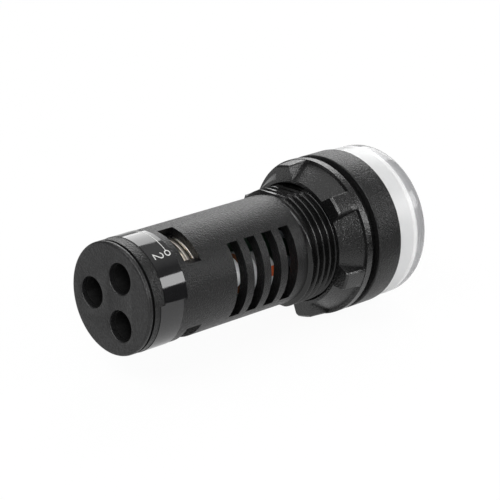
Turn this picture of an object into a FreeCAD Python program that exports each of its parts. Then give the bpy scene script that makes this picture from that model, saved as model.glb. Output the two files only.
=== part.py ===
import FreeCAD, Part
import math
import os

# A 22 mm panel pilot light, in its installed frame. All sizes are in millimetres.
# The origin is the centre of the panel seat, which is the bezel's rear face.
# The barrel and its terminals run along +Y, the lens faces -Y, and +Z is up.
# Angles about the barrel start at the top and grow towards the -X side.

V = FreeCAD.Vector

# Moulded body: bezel, barrel and bores
bezel_d = 29.0
bezel_depth = 5.7
bezel_wall = 1.1
bezel_floor = 1.3
bezel_edge = 0.3
barrel_d = 20.0
barrel_length = 50.1
barrel_wall = 1.5
shoulder_step = 0.4
rim_edge = 0.15

# Panel thread: ridges on the barrel, with a moulding flat at the top and the bottom
thread_depth = 0.8
thread_pitch = 1.5
thread_end = 13.85
thread_relief = 1.6
ridge_root_width = 1.1
ridge_crest_width = 0.25
ridge_sink = 0.4
thread_flat_rise = 0.15

# Vent slots, cut straight through both sides of the barrel
vent_count = 4
vent_pitch = 4.07
vent_width = 2.38
vent_height = 13.35
vent_rise = 0.25
vent_front = 17.53

# Terminals: three of them, with a wire window each
terminal_angles = (30.0, 150.0, 270.0)
window_width = 3.4
window_margin = 0.5
block_front = 35.0
block_clearance = 0.1
block_floor = 1.9
terminal_r = 4.87
partition = 0.7
pocket_spare = 0.35
pocket_reach = 2.3
driver_bore_d = 5.1
head_play = 0.15
groove_depth = 0.8

# Screws and the plates that hold a wire
screw_d = 3.0
screw_length = 5.0
head_d = 4.9
head_height = 1.8
head_edge = 0.4
recess_width = 0.75
recess_length = 3.2
recess_depth = 1.1
plate_thickness = 0.5
clamp_thickness = 0.95
clamp_groove = 0.15
wire_gap = 0.4
clamp_travel = 2.0
plate_inset = 0.35
side_play = 0.12
shank_play = 0.15
tip_play = 0.25
tapping_play = 0.05
tail_thickness = 0.5
tail_width = 2.0
tail_length = 3.0
tail_play = 0.05

# Rear cover
cover_thickness = 1.05
cover_rim = 0.78
cover_gap = 0.12
cover_edge = 0.45
cover_play = 0.15
cover_hole_d = 5.5
hole_chamfer = 0.15
peg_d = 1.6
peg_length = 3.0
peg_circle_r = 6.3
peg_play = 0.05

# Lock nut and panel gasket
gasket_thickness = 1.9
gasket_width = 2.45
gasket_play = 0.15
gasket_edge = 0.3
nut_gap = 0.05
nut_thickness = 5.65
nut_play = 0.15
nut_wall = 0.75
nut_bore_chamfer = 0.15
flange_thickness = 1.3
flange_edge = 0.25
lug_count = 6
lug_first_angle = 48.4
lug_inset = 0.35
lug_width = 3.7
lug_flare = 0.13
lug_corner = 0.35
cone_step = 0.38

# Lens, diffuser and lamp board
lens_inset = 0.3
lens_front = 13.5
lens_dome = 0.4
lens_radius = 2.4
lens_wall = 1.5
lens_skirt = 3.3
lens_play = 0.05
diffuser_play = 0.15
diffuser_wall = 1.0
diffuser_front = 11.0
diffuser_chamfer = 0.9
lamp_board_play = 0.9
lamp_board_thickness = 1.0
led_count = 6
led_circle_r = 6.5
led_length = 3.5
led_width = 2.8
led_height = 1.9
led_window_d = 2.4
led_window_depth = 0.3

# Main board along the axis, and what is soldered to it
board_thickness = 1.0
board_edge_play = 0.2
pin_size = 0.6
pin_length = 3.3
pin_spacing = 6.0
link_d = 0.7
link_offset = 1.0

smoothing_d = 6.0
smoothing_length = 6.8
smoothing_front = 26.0
smoothing_z = -0.5
smoothing_bead = 0.35
lead_d = 0.6

film_thickness = 2.6
film_edge = 0.7
film_a_d = 7.8
film_a_front = 21.9
film_a_lift = 2.2
film_a_z = -1.4
film_b_d = 7.2
film_b_front = 17.0
film_b_lift = 1.9
film_b_z = -2.3

varistor_d = 4.0
varistor_thickness = 2.4
varistor_front = 13.2
varistor_z = -3.0
varistor_lift = 1.5

dropper_length = 13.0
dropper_height = 4.8
dropper_width = 10.0
dropper_front = 8.0
dropper_edge = 0.8
rectifier_length = 4.8
rectifier_height = 2.4
rectifier_width = 6.4
rectifier_front = 23.5
rectifier_edge = 0.3
resistor_d = 2.4
resistor_waist_d = 2.0
resistor_length = 6.4
resistor_cap = 1.1
resistor_front = 4.6
resistor_z = 3.0

# Printed band round the rear of the barrel
label_rear_gap = 2.55
label_width = 5.05
label_thickness = 0.08
label_seam_angle = 86.0
label_skew = 0.95

# Sizes that follow from the ones above
bezel_r = bezel_d / 2
bezel_inner_r = bezel_r - bezel_wall
barrel_r = barrel_d / 2
rear_bore_r = barrel_r - barrel_wall
front_bore_r = rear_bore_r - shoulder_step
thread_r = barrel_r + thread_depth
block_r = rear_bore_r - block_clearance
pocket_inner_r = terminal_r - pocket_reach
half_sector = math.pi / len(terminal_angles)
pocket_half = (pocket_inner_r * math.sin(half_sector) - partition / 2) / math.cos(half_sector)
plate_seat_y = block_front + block_floor
clamp_front_y = plate_seat_y + plate_thickness + wire_gap
head_front_y = clamp_front_y + clamp_thickness
pocket_end_y = head_front_y + clamp_travel + pocket_spare
window_front_y = pocket_end_y - window_width
cover_rear_y = barrel_length + cover_gap + cover_rim
block_rear_y = cover_rear_y - cover_thickness
lamp_board_y = -bezel_floor - lamp_board_thickness
label_front = barrel_length - label_rear_gap - label_width
nut_front_y = gasket_thickness + nut_gap
nut_rear_y = nut_front_y + nut_thickness
nut_bore_r = thread_r + nut_play
flange_r = bezel_r
lug_r = flange_r - lug_inset
hub_front_r = lug_r - cone_step
hub_rear_r = nut_bore_r + nut_wall
reach = 4 * bezel_r


def cylinder(radius, y0, y1, x=0.0, z=0.0):
    """A round bar along the barrel's direction."""
    return Part.makeCylinder(radius, y1 - y0, V(x, y0, z), V(0, 1, 0))


def ring(outer_r, inner_r, y0, y1):
    return cylinder(outer_r, y0, y1).cut(cylinder(inner_r, y0 - 1, y1 + 1))


def box(x0, x1, y0, y1, z0, z1):
    return Part.makeBox(x1 - x0, y1 - y0, z1 - z0, V(x0, y0, z0))


def about_axis(shape, angle):
    """A copy turned about the barrel's axis: 0 is the top, 90 the -X side."""
    turned = shape.copy()
    turned.rotate(V(0, 0, 0), V(0, 1, 0), -angle)
    return turned


def outline_face(points):
    """A flat face from (radius, y) points, in the plane through the axis and the top."""
    corners = [V(0, y, radius) for radius, y in points]
    return Part.Face(Part.makePolygon(corners + [corners[0]]))


def revolved(points, angle=360.0):
    """Turns a closed outline of (radius, y) points about the barrel's axis."""
    return outline_face(points).revolve(V(0, 0, 0), V(0, 1, 0), angle)


def circles(shape, radius, y):
    """The full round edges about the barrel's axis with this radius at this y."""
    found = []
    for edge in shape.Edges:
        curve = edge.Curve
        if not isinstance(curve, Part.Circle):
            continue
        centre = curve.Center
        on_axis = math.hypot(centre.x, centre.z) < 0.001
        if on_axis and abs(centre.y - y) < 0.001 and abs(curve.Radius - radius) < 0.001:
            found.append(edge)
    return found


def rounded(shape, radius, y, size):
    return shape.makeFillet(size, circles(shape, radius, y))


def chamfered(shape, radius, y, size):
    return shape.makeChamfer(size, circles(shape, radius, y))


def half_ridge(y, side):
    """Half a turn of thread, leaning so that the two halves climb as a right-hand helix."""
    inner_r = barrel_r - ridge_sink
    slope = (ridge_root_width - ridge_crest_width) / 2 / thread_depth
    foot = ridge_crest_width / 2 + slope * (thread_depth + ridge_sink)
    crest = ridge_crest_width / 2
    points = [(inner_r, y - foot), (thread_r, y - crest), (thread_r, y + crest), (inner_r, y + foot)]
    ridge = revolved(points, 180.0 * side)
    lean = math.degrees(math.atan(thread_pitch / 2 / (2 * thread_r)))
    ridge.rotate(V(0, y, 0), V(1, 0, 0), lean * side)
    return ridge


def thread_ridges():
    """The panel thread's ridges, cut off flat at the top and the bottom.
    The halves on the +X side stand half a pitch further forward, as one turn of a helix does."""
    ridges = []
    y = thread_end - ridge_root_width / 2
    while y - ridge_root_width / 2 - thread_pitch / 2 > thread_relief:
        ridges.append(half_ridge(y, -1))
        ridges.append(half_ridge(y - thread_pitch / 2, 1))
        y = y - thread_pitch
    flat = barrel_r + thread_flat_rise
    between_flats = box(-reach, reach, -reach, reach, -flat, flat)
    return Part.makeCompound(ridges).common(between_flats).Solids


def vent_cutter(index):
    """One vent, straight through both sides; the vents sit a little above the axis."""
    middle = vent_front + index * vent_pitch
    half = vent_width / 2
    bottom = vent_rise - vent_height / 2
    return box(-reach, reach, middle - half, middle + half, bottom, bottom + vent_height)


def window_cutter(angle):
    """One wire window. Its core draws out along X, so the jamb nearest the side is level."""
    half = pocket_half + window_margin
    opening = box(-half, half, window_front_y, pocket_end_y, pocket_inner_r, reach)
    opening = about_axis(opening, angle)
    side_angle = math.radians(terminal_angles[0]) + math.asin(half / barrel_r)
    level = barrel_r * math.cos(side_angle)
    return opening.cut(box(-reach, 0, -reach, reach, -level, level))


def housing():
    """Bezel, barrel and thread, moulded as one piece."""
    body = revolved([
        (front_bore_r, -bezel_floor), (front_bore_r, block_front), (rear_bore_r, block_front),
        (rear_bore_r, barrel_length), (barrel_r, barrel_length), (barrel_r, 0), (bezel_r, 0),
        (bezel_r, -bezel_depth), (bezel_inner_r, -bezel_depth), (bezel_inner_r, -bezel_floor),
    ])
    body = rounded(body, bezel_r, 0, bezel_edge)
    body = rounded(body, bezel_r, -bezel_depth, bezel_edge)
    body = chamfered(body, barrel_r, barrel_length, rim_edge)
    body = body.fuse(thread_ridges())
    cutters = [vent_cutter(index) for index in range(vent_count)]
    cutters = cutters + [window_cutter(angle) for angle in terminal_angles]
    return body.cut(cutters)


def tail(index, play=0.0):
    """The solder tail of one terminal plate, where it meets the main board."""
    front = block_front - tail_length
    rear = plate_seat_y + plate_thickness
    half = tail_width / 2 + play
    if index == 2:
        foot = pocket_inner_r + side_play
        return box(foot - play, foot + tail_thickness + play, front, rear, -half, half)
    middle = terminal_r * math.cos(math.radians(terminal_angles[index]))
    return box(-tail_thickness - play, play, front, rear, middle - half, middle + half)


def plate_outline(y0, y1, play):
    """A terminal's plate, with its outer edge curved like the barrel."""
    half = pocket_half - play
    plate = box(-half, half, y0, y1, pocket_inner_r + play, block_r)
    return plate.common(cylinder(block_r - plate_inset, y0 - 1, y1 + 1))


def terminal_plate(index):
    """Tapped plate at the bottom of a pocket, with its tail down to the main board."""
    top = plate_seat_y + plate_thickness
    plate = plate_outline(plate_seat_y, top, side_play)
    hole = cylinder(screw_d / 2 + tapping_play, plate_seat_y - 1, top + 1, 0, terminal_r)
    plate = about_axis(plate.cut(hole), terminal_angles[index])
    return plate.fuse(tail(index)).removeSplitter()


def clamp_plate(index):
    """Captive square washer that presses the wire down, with a groove round its edge."""
    plate = plate_outline(clamp_front_y, head_front_y, side_play)
    middle = (clamp_front_y + head_front_y) / 2
    core = plate_outline(middle - clamp_groove / 2, middle + clamp_groove / 2, side_play + clamp_groove)
    slice_y = plate_outline(middle - clamp_groove / 2, middle + clamp_groove / 2, side_play)
    plate = plate.cut(slice_y.cut(core))
    hole = cylinder(screw_d / 2 + shank_play, clamp_front_y - 1, head_front_y + 1, 0, terminal_r)
    return about_axis(plate.cut(hole), terminal_angles[index])


def terminal_screw(index):
    """Pan head screw with a cross recess, its head towards the rear cover."""
    top = head_front_y + head_height
    head = cylinder(head_d / 2, head_front_y, top)
    head = rounded(head, head_d / 2, top, head_edge)
    long_half = recess_length / 2
    short_half = recess_width / 2
    across = box(-long_half, long_half, top - recess_depth, top + 1, -short_half, short_half)
    head = head.cut([across, about_axis(across, 90)])
    shank = cylinder(screw_d / 2, head_front_y - screw_length, head_front_y)
    screw = head.fuse(shank)
    screw.translate(V(0, 0, terminal_r))
    return about_axis(screw, terminal_angles[index])


def terminal_block():
    """Insulating insert with three pockets, the driver bores and the board's groove."""
    block = cylinder(block_r, block_front, block_rear_y)
    pocket = box(-pocket_half, pocket_half, plate_seat_y, pocket_end_y, pocket_inner_r, reach)
    driver = cylinder(driver_bore_d / 2, pocket_end_y - 1, block_rear_y + 1, 0, terminal_r)
    driver = driver.cut(box(-reach, reach, -reach, pocket_end_y, -reach, pocket_inner_r))
    head_reach = head_d / 2 + head_play
    relief_half = math.sqrt(head_reach ** 2 - pocket_reach ** 2)
    relief = box(-relief_half, relief_half, plate_seat_y, pocket_end_y, terminal_r - head_reach, terminal_r)
    shank_bore = cylinder(screw_d / 2 + tip_play, block_front - 1, plate_seat_y + 1, 0, terminal_r)
    cutters = []
    for index, angle in enumerate(terminal_angles):
        cutters = cutters + [about_axis(cutter, angle) for cutter in (pocket, relief, driver, shank_bore)]
        cutters.append(tail(index, tail_play))
    cutters = cutters + [peg(angle, peg_play) for angle in peg_angles()]
    play = side_play
    groove_end = block_front + groove_depth + play
    half = board_half() + play
    cutters.append(box(-play, board_thickness + play, block_front - 1, groove_end, -half, half))
    return block.cut(cutters)


def peg_angles():
    """The cover's pegs stand half way between the driver holes."""
    return [angle + math.degrees(half_sector) for angle in terminal_angles]


def peg(angle, play=0.0):
    body = cylinder(peg_d / 2 + play, block_rear_y - peg_length - play, block_rear_y, 0, peg_circle_r)
    return about_axis(body, angle)


def rear_cover():
    """Disc over the terminals with three driver holes, held by pegs in the block."""
    rim_front = cover_rear_y - cover_rim
    disc = cylinder(barrel_r, rim_front, cover_rear_y)
    disc = rounded(disc, barrel_r, cover_rear_y, cover_edge)
    disc = disc.fuse(cylinder(rear_bore_r - cover_play, block_rear_y, rim_front))
    holes = []
    for angle in terminal_angles:
        hole_r = cover_hole_d / 2
        hole = cylinder(hole_r, block_rear_y - 1, cover_rear_y + 1, 0, terminal_r)
        mouth = Part.makeCone(hole_r, hole_r + 2 * hole_chamfer, 2 * hole_chamfer,
                              V(0, cover_rear_y - hole_chamfer, terminal_r), V(0, 1, 0))
        holes = holes + [about_axis(hole, angle), about_axis(mouth, angle)]
    return disc.cut(holes).fuse([peg(angle) for angle in peg_angles()]).removeSplitter()


def panel_gasket():
    inner_r = thread_r + gasket_play
    outer_r = inner_r + gasket_width
    gasket = ring(outer_r, inner_r, 0, gasket_thickness)
    gasket = rounded(gasket, outer_r, gasket_thickness, gasket_edge)
    return rounded(gasket, outer_r, 0, gasket_edge)


def lug():
    """One grip lug of the nut, flared towards the hub, with a bevelled rear edge."""
    base_r = nut_bore_r + nut_wall / 2
    half = lug_width / 2
    wide = half + lug_flare * (lug_r - base_r)
    front = nut_front_y + flange_thickness / 2
    top_r = lug_r + 1
    corners = [V(-wide, front, base_r), V(-half, front, top_r), V(half, front, top_r), V(wide, front, base_r)]
    face = Part.Face(Part.makePolygon(corners + [corners[0]]))
    bar = face.extrude(V(0, nut_rear_y - front, 0))
    round_top = chamfered(cylinder(lug_r, front - 1, nut_rear_y), lug_r, nut_rear_y, lug_corner)
    return bar.common(round_top)


def lock_nut():
    """Flange and coned hub with six grip lugs, on a bore that clears the thread's crests."""
    flange_rear_y = nut_front_y + flange_thickness
    base = revolved([
        (nut_bore_r, nut_front_y), (flange_r, nut_front_y), (flange_r, flange_rear_y),
        (hub_front_r, flange_rear_y), (hub_rear_r, nut_rear_y), (nut_bore_r, nut_rear_y),
    ])
    base = rounded(base, flange_r, nut_front_y, flange_edge)
    base = rounded(base, flange_r, flange_rear_y, flange_edge)
    step = 360.0 / lug_count
    lugs = [about_axis(lug(), lug_first_angle + index * step) for index in range(lug_count)]
    nut = base.fuse(lugs)
    mouth_r = nut_bore_r + nut_bore_chamfer
    mouth = Part.makeCone(nut_bore_r, mouth_r, nut_bore_chamfer,
                          V(0, nut_rear_y - nut_bore_chamfer, 0), V(0, 1, 0))
    return nut.cut(mouth)


def lens_cap():
    """Clear cap: a skirt inside the bezel, a straight side and a softly domed front."""
    side_r = bezel_r - lens_inset
    skirt_r = bezel_inner_r - lens_play
    inner_r = skirt_r - lens_wall / 2
    side_front = -lens_front + lens_radius
    corner = lens_radius * math.sqrt(0.5)
    arc_middle = V(0, side_front - corner, side_r - lens_radius + corner)
    flat_r = side_r - lens_radius
    dome_r = (flat_r ** 2 + lens_dome ** 2) / (2 * lens_dome)
    dome_centre_y = dome_r - lens_front - lens_dome
    dome_middle = V(0, dome_centre_y - math.sqrt(dome_r ** 2 - (flat_r / 2) ** 2), flat_r / 2)
    edges = [
        Part.makeLine(V(0, -bezel_depth + lens_skirt, inner_r), V(0, -bezel_depth + lens_skirt, skirt_r)),
        Part.makeLine(V(0, -bezel_depth + lens_skirt, skirt_r), V(0, -bezel_depth, skirt_r)),
        Part.makeLine(V(0, -bezel_depth, skirt_r), V(0, -bezel_depth, side_r)),
        Part.makeLine(V(0, -bezel_depth, side_r), V(0, side_front, side_r)),
        Part.Arc(V(0, side_front, side_r), arc_middle, V(0, -lens_front, flat_r)).toShape(),
        Part.Arc(V(0, -lens_front, flat_r), dome_middle, V(0, -lens_front - lens_dome, 0)).toShape(),
        Part.makeLine(V(0, -lens_front - lens_dome, 0), V(0, -lens_front + lens_wall, 0)),
        Part.makeLine(V(0, -lens_front + lens_wall, 0), V(0, -lens_front + lens_wall, inner_r)),
        Part.makeLine(V(0, -lens_front + lens_wall, inner_r), V(0, -bezel_depth + lens_skirt, inner_r)),
    ]
    outline = Part.Face(Part.Wire(edges))
    return outline.revolve(V(0, 0, 0), V(0, 1, 0), 360)


def diffuser():
    """White cup over the lamps, standing on the lamp board inside the lens."""
    outer_r = bezel_inner_r - lens_play - lens_wall / 2 - diffuser_play
    inner_r = outer_r - diffuser_wall
    front = -diffuser_front
    return revolved([
        (0, front), (outer_r - diffuser_chamfer, front), (outer_r, front + diffuser_chamfer),
        (outer_r, lamp_board_y), (inner_r, lamp_board_y),
        (inner_r, front + diffuser_wall + diffuser_chamfer / 2),
        (inner_r - diffuser_chamfer / 2, front + diffuser_wall), (0, front + diffuser_wall),
    ])


def lamp_board():
    return cylinder(bezel_inner_r - lamp_board_play, lamp_board_y, -bezel_floor)


def led(index):
    """Square lamp body with a round window, on the front of the lamp board."""
    front = lamp_board_y - led_height
    body = box(-led_length / 2, led_length / 2, front, lamp_board_y, led_circle_r - led_width / 2,
               led_circle_r + led_width / 2)
    window = cylinder(led_window_d / 2, front - 1, front + led_window_depth, 0, led_circle_r)
    return about_axis(body.cut(window), index * 360.0 / led_count)


def board_half():
    """Half the main board's width, so that its corners clear the front bore."""
    return math.sqrt(front_bore_r ** 2 - board_thickness ** 2) - board_edge_play


def main_board():
    return box(0, board_thickness, -bezel_floor, block_front + groove_depth, -board_half(), board_half())


def board_pins():
    """Two square pins that join the main board to the lamp board."""
    pins = []
    for z in (-pin_spacing / 2, pin_spacing / 2):
        pins.append(box(-pin_size, 0, -bezel_floor, pin_length, z - pin_size / 2, z + pin_size / 2))
    return Part.makeCompound(pins)


def link_wire():
    """Short wire from the third terminal's tail across to the main board."""
    foot = pocket_inner_r + side_play
    return Part.makeCylinder(link_d / 2, foot - board_thickness,
                             V(board_thickness, block_front - link_offset, 0), V(1, 0, 0))


def smoothing_capacitor():
    """Round can lying on the main board, its leads bent down at the rear."""
    radius = smoothing_d / 2
    rear = smoothing_front + smoothing_length
    can = cylinder(radius, smoothing_front, rear)
    can = rounded(can, radius, smoothing_front, smoothing_bead)
    can = rounded(can, radius, rear, smoothing_bead)
    leads = []
    for z in (-radius / 2, radius / 2):
        low = z - lead_d / 2
        high = z + lead_d / 2
        lead = box(-lead_d / 2, lead_d / 2, rear - lead_d, rear + 2 * lead_d, low, high)
        drop = box(-lead_d / 2, radius, rear + lead_d, rear + 2 * lead_d, low, high)
        leads = leads + [lead, drop]
    can = can.fuse(leads).removeSplitter()
    can.translate(V(-radius, 0, smoothing_z))
    return can


def film_capacitor(diameter, front, lift, middle_z):
    """Dipped round capacitor on the board's -X face, cut off flat where it meets the board."""
    radius = diameter / 2
    rear = front + film_thickness
    disc = cylinder(radius, front, rear)
    disc = rounded(disc, radius, front, film_edge)
    disc = rounded(disc, radius, rear, film_edge)
    disc.translate(V(-lift, 0, middle_z))
    return disc.cut(box(0, reach, front - 1, rear + 1, -reach, reach))


def varistor():
    """Small dipped disc on two short legs."""
    radius = varistor_d / 2
    middle_x = -varistor_lift - radius
    rear = varistor_front + varistor_thickness
    disc = cylinder(radius, varistor_front, rear)
    disc = rounded(disc, radius, varistor_front, varistor_thickness / 3)
    disc = rounded(disc, radius, rear, varistor_thickness / 3)
    disc.translate(V(middle_x, 0, varistor_z))
    middle = (varistor_front + rear) / 2
    half = lead_d / 2
    legs = []
    for z in (varistor_z - radius / 2, varistor_z + radius / 2):
        legs.append(box(middle_x, 0, middle - half, middle + half, z - half, z + half))
    return disc.fuse(legs).removeSplitter()


def rounded_off_board(body, size):
    """Rounds the edges of a component furthest from the board's +X face."""
    outer_edges = [edge for edge in body.Edges if edge.BoundBox.XMax > body.BoundBox.XMax - size / 2]
    return body.makeFillet(size, outer_edges)


def dropper_capacitor():
    """Box capacitor lying on the board's +X face."""
    top = board_thickness + dropper_height
    half = dropper_width / 2
    body = box(board_thickness, top, dropper_front, dropper_front + dropper_length, -half, half)
    return rounded_off_board(body, dropper_edge)


def rectifier():
    """Flat moulded block beside it, nearer the terminals."""
    top = board_thickness + rectifier_height
    half = rectifier_width / 2
    body = box(board_thickness, top, rectifier_front, rectifier_front + rectifier_length, -half, half)
    return rounded_off_board(body, rectifier_edge)


def resistor(middle_z):
    """Axial resistor lying on the board's -X face, thicker at its ends."""
    radius = resistor_d / 2
    rear = resistor_front + resistor_length
    body = cylinder(resistor_waist_d / 2, resistor_front, rear)
    caps = [cylinder(radius, resistor_front, resistor_front + resistor_cap),
            cylinder(radius, rear - resistor_cap, rear)]
    leads = []
    for y in (resistor_front - lead_d, rear):
        leads.append(box(-lead_d / 2, radius, y, y + lead_d, -lead_d / 2, lead_d / 2))
    body = body.fuse(caps + leads).removeSplitter()
    body.translate(V(-radius, 0, middle_z))
    return body


def label_wrap():
    """Thin printed band; its two ends meet at the seam with one end set further back."""
    outer_r = barrel_r + label_thickness
    shell = ring(outer_r, barrel_r, label_front - label_width, label_front + 2 * label_width)
    straight = box(-reach, reach, label_front, label_front + label_width, -reach, reach)
    skewed = straight.copy()
    skewed.rotate(V(barrel_r, label_front, 0), V(0, 0, 1), -math.degrees(math.atan(label_skew / barrel_d)))
    upper = about_axis(box(-reach, reach, -reach, reach, 0, reach), label_seam_angle - 90)
    lower = about_axis(box(-reach, reach, -reach, reach, -reach, 0), label_seam_angle - 90)
    first = shell.common(straight).common(upper)
    second = shell.common(skewed).common(lower)
    return first.fuse(second).removeSplitter()


def all_nodes():
    nodes = {
        "housing": housing(),
        "lens_cap": lens_cap(),
        "diffuser": diffuser(),
        "lamp_board": lamp_board(),
        "main_board": main_board(),
        "board_pins": board_pins(),
        "link_wire": link_wire(),
        "smoothing_capacitor": smoothing_capacitor(),
        "film_capacitor_1": film_capacitor(film_a_d, film_a_front, film_a_lift, film_a_z),
        "film_capacitor_2": film_capacitor(film_b_d, film_b_front, film_b_lift, film_b_z),
        "varistor": varistor(),
        "dropper_capacitor": dropper_capacitor(),
        "rectifier": rectifier(),
        "resistor_1": resistor(resistor_z),
        "resistor_2": resistor(-resistor_z),
        "terminal_block": terminal_block(),
        "rear_cover": rear_cover(),
        "panel_gasket": panel_gasket(),
        "lock_nut": lock_nut(),
        "label_wrap": label_wrap(),
    }
    for index in range(led_count):
        nodes["led_%d" % (index + 1)] = led(index)
    for index in range(len(terminal_angles)):
        number = index + 1
        nodes["terminal_plate_%d" % number] = terminal_plate(index)
        nodes["clamp_plate_%d" % number] = clamp_plate(index)
        nodes["terminal_screw_%d" % number] = terminal_screw(index)
    return nodes


os.makedirs("parts", exist_ok=True)
for name, shape in all_nodes().items():
    shape.exportStep("parts/%s.step" % name)
    print("%-20s %d solids, valid %s, %.2f mm3" % (name, len(shape.Solids), shape.isValid(), shape.Volume))
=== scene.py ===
# %% [markdown]
# # A panel pilot light, dressed around its CAD frame
# The light is a black moulded barrel with a threaded neck, a lugged lock nut, a bezel and a clear
# lens. It lies along Y: the terminals are at +Y, the lens looks towards -Y, and Z is up.
# The CAD model already fixes every size. This script keeps those sizes, gives each part its finish,
# and rebuilds the parts whose surface matters most in a close photograph.

# %% Load the frame and keep its box
import math
import bmesh
import bpy
import numpy as np
from mathutils import Matrix, Vector


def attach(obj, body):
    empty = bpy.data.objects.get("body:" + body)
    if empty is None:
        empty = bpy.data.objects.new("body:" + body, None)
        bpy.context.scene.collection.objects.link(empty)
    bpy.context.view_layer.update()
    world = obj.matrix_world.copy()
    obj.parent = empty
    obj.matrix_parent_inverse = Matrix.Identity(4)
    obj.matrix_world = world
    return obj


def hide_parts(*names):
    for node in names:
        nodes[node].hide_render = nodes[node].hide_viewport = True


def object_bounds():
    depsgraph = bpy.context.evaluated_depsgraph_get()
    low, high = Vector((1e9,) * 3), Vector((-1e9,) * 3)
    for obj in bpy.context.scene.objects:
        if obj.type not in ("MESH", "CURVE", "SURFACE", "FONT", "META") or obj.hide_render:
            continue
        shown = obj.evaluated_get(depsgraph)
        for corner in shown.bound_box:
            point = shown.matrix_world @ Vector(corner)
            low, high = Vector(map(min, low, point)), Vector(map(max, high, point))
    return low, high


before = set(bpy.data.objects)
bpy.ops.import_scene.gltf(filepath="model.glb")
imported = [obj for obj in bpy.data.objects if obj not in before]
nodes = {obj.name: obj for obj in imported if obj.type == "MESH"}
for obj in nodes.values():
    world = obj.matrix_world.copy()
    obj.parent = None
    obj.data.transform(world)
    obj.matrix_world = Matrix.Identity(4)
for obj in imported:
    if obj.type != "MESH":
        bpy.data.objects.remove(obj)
cad_box = [list(corner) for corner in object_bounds()]
mm = 0.001
print("CAD box in mm", [[round(value / mm, 2) for value in corner] for corner in cad_box])

# %% [markdown]
# ## Helpers for node materials
# Every finish is a Principled shader fed by noise patterns on Object coordinates, which are metres
# here because each object sits at the origin. A pattern's size is therefore given in metres too.

# %% Add nodes, and start a material
def add_node(tree, kind, inputs=None, **settings):
    """Adds a node. Inputs may be plain values or the output socket that feeds them."""
    made = tree.nodes.new(kind)
    for name, value in settings.items():
        setattr(made, name, value)
    for socket, value in (inputs or {}).items():
        if isinstance(value, bpy.types.NodeSocket):
            tree.links.new(value, made.inputs[socket])
        else:
            made.inputs[socket].default_value = value
    return made


def new_material(name, roughness=0.5, metallic=0.0, ior=1.5):
    """A material with its Principled shader, whose uniform values are set on its own sockets."""
    material = bpy.data.materials.new(name)
    material.use_nodes = True
    shader = material.node_tree.nodes["Principled BSDF"]
    shader.inputs["Roughness"].default_value = roughness
    shader.inputs["Metallic"].default_value = metallic
    shader.inputs["IOR"].default_value = ior
    return material, material.node_tree, shader


print("node helpers ready")

# %% Work on factors and colours
def spread(tree, factor, low, high, start=0.3, end=0.7):
    """Stretches a factor so that start becomes low and end becomes high, and holds it there
    beyond. Noise hardly leaves 0.3 to 0.7, so these are the usual start and end."""
    return add_node(tree, "ShaderNodeMapRange",
                    {"Value": factor, "From Min": start, "From Max": end,
                     "To Min": low, "To Max": high}).outputs["Result"]


def calculate(tree, operation, first, second):
    """One sum of two factors: ADD, MULTIPLY, or MAXIMUM for the larger of the two."""
    return add_node(tree, "ShaderNodeMath", {0: first, 1: second}, operation=operation).outputs[0]


def tint(tree, factor, dark, light):
    """A colour between dark and light, by a factor from 0 to 1."""
    ramp = add_node(tree, "ShaderNodeValToRGB", {"Fac": factor})
    ramp.color_ramp.elements[0].color = (*dark, 1)
    ramp.color_ramp.elements[1].color = (*light, 1)
    return ramp.outputs["Color"]


def darker_and_lighter(colour, variation):
    """The colour times one minus, and one plus, the variation."""
    return (tuple(channel * (1 - variation) for channel in colour),
            tuple(channel * (1 + variation) for channel in colour))


print("factor helpers ready")

# %% Grain, bumps and drift
def grain(tree, size, detail=2.0):
    """Noise from 0 to 1 whose blobs are about size metres across."""
    place = add_node(tree, "ShaderNodeTexCoord")
    inputs = {"Vector": place.outputs["Object"], "Scale": 1 / size, "Detail": detail}
    return add_node(tree, "ShaderNodeTexNoise", inputs).outputs["Fac"]


def bump(tree, height, depth, strength=1.0):
    """A bump whose full height is depth metres."""
    inputs = {"Height": height, "Distance": depth, "Strength": strength}
    return add_node(tree, "ShaderNodeBump", inputs).outputs["Normal"]


def wear(tree, shader, colour, variation=0.12, size=0.004, rough=None):
    """Slow colour and roughness drift, as on anything moulded, plated or dipped. The roughness
    drifts in blobs about a third as large, so that it doesn't follow the colour."""
    finer = 0.37
    slow = spread(tree, grain(tree, size, 4.0), 0.0, 1.0)
    tones = darker_and_lighter(colour, variation)
    tree.links.new(tint(tree, slow, *tones), shader.inputs["Base Color"])
    if rough is not None:
        other = grain(tree, size * finer, 3.0)
        tree.links.new(spread(tree, other, *rough), shader.inputs["Roughness"])


print("pattern helpers ready")

# %% [markdown]
# ## Moulded black plastic
# The housing comes from a spark-eroded mould. Such a surface is covered in tiny round pits, about a
# quarter of a millimetre across, that turn the highlight into a fine sparkle. Their colour is
# painted
# too: darker at each pit's bottom as painted shade, and lighter between the pits as a painted
# glint.
# The cover is paler with shallower pits, the nut is glossier, and the thread is nearly smooth. So
# one function takes the colour, the size and depth of the pits, and the roughness in and between
# them.

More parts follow.
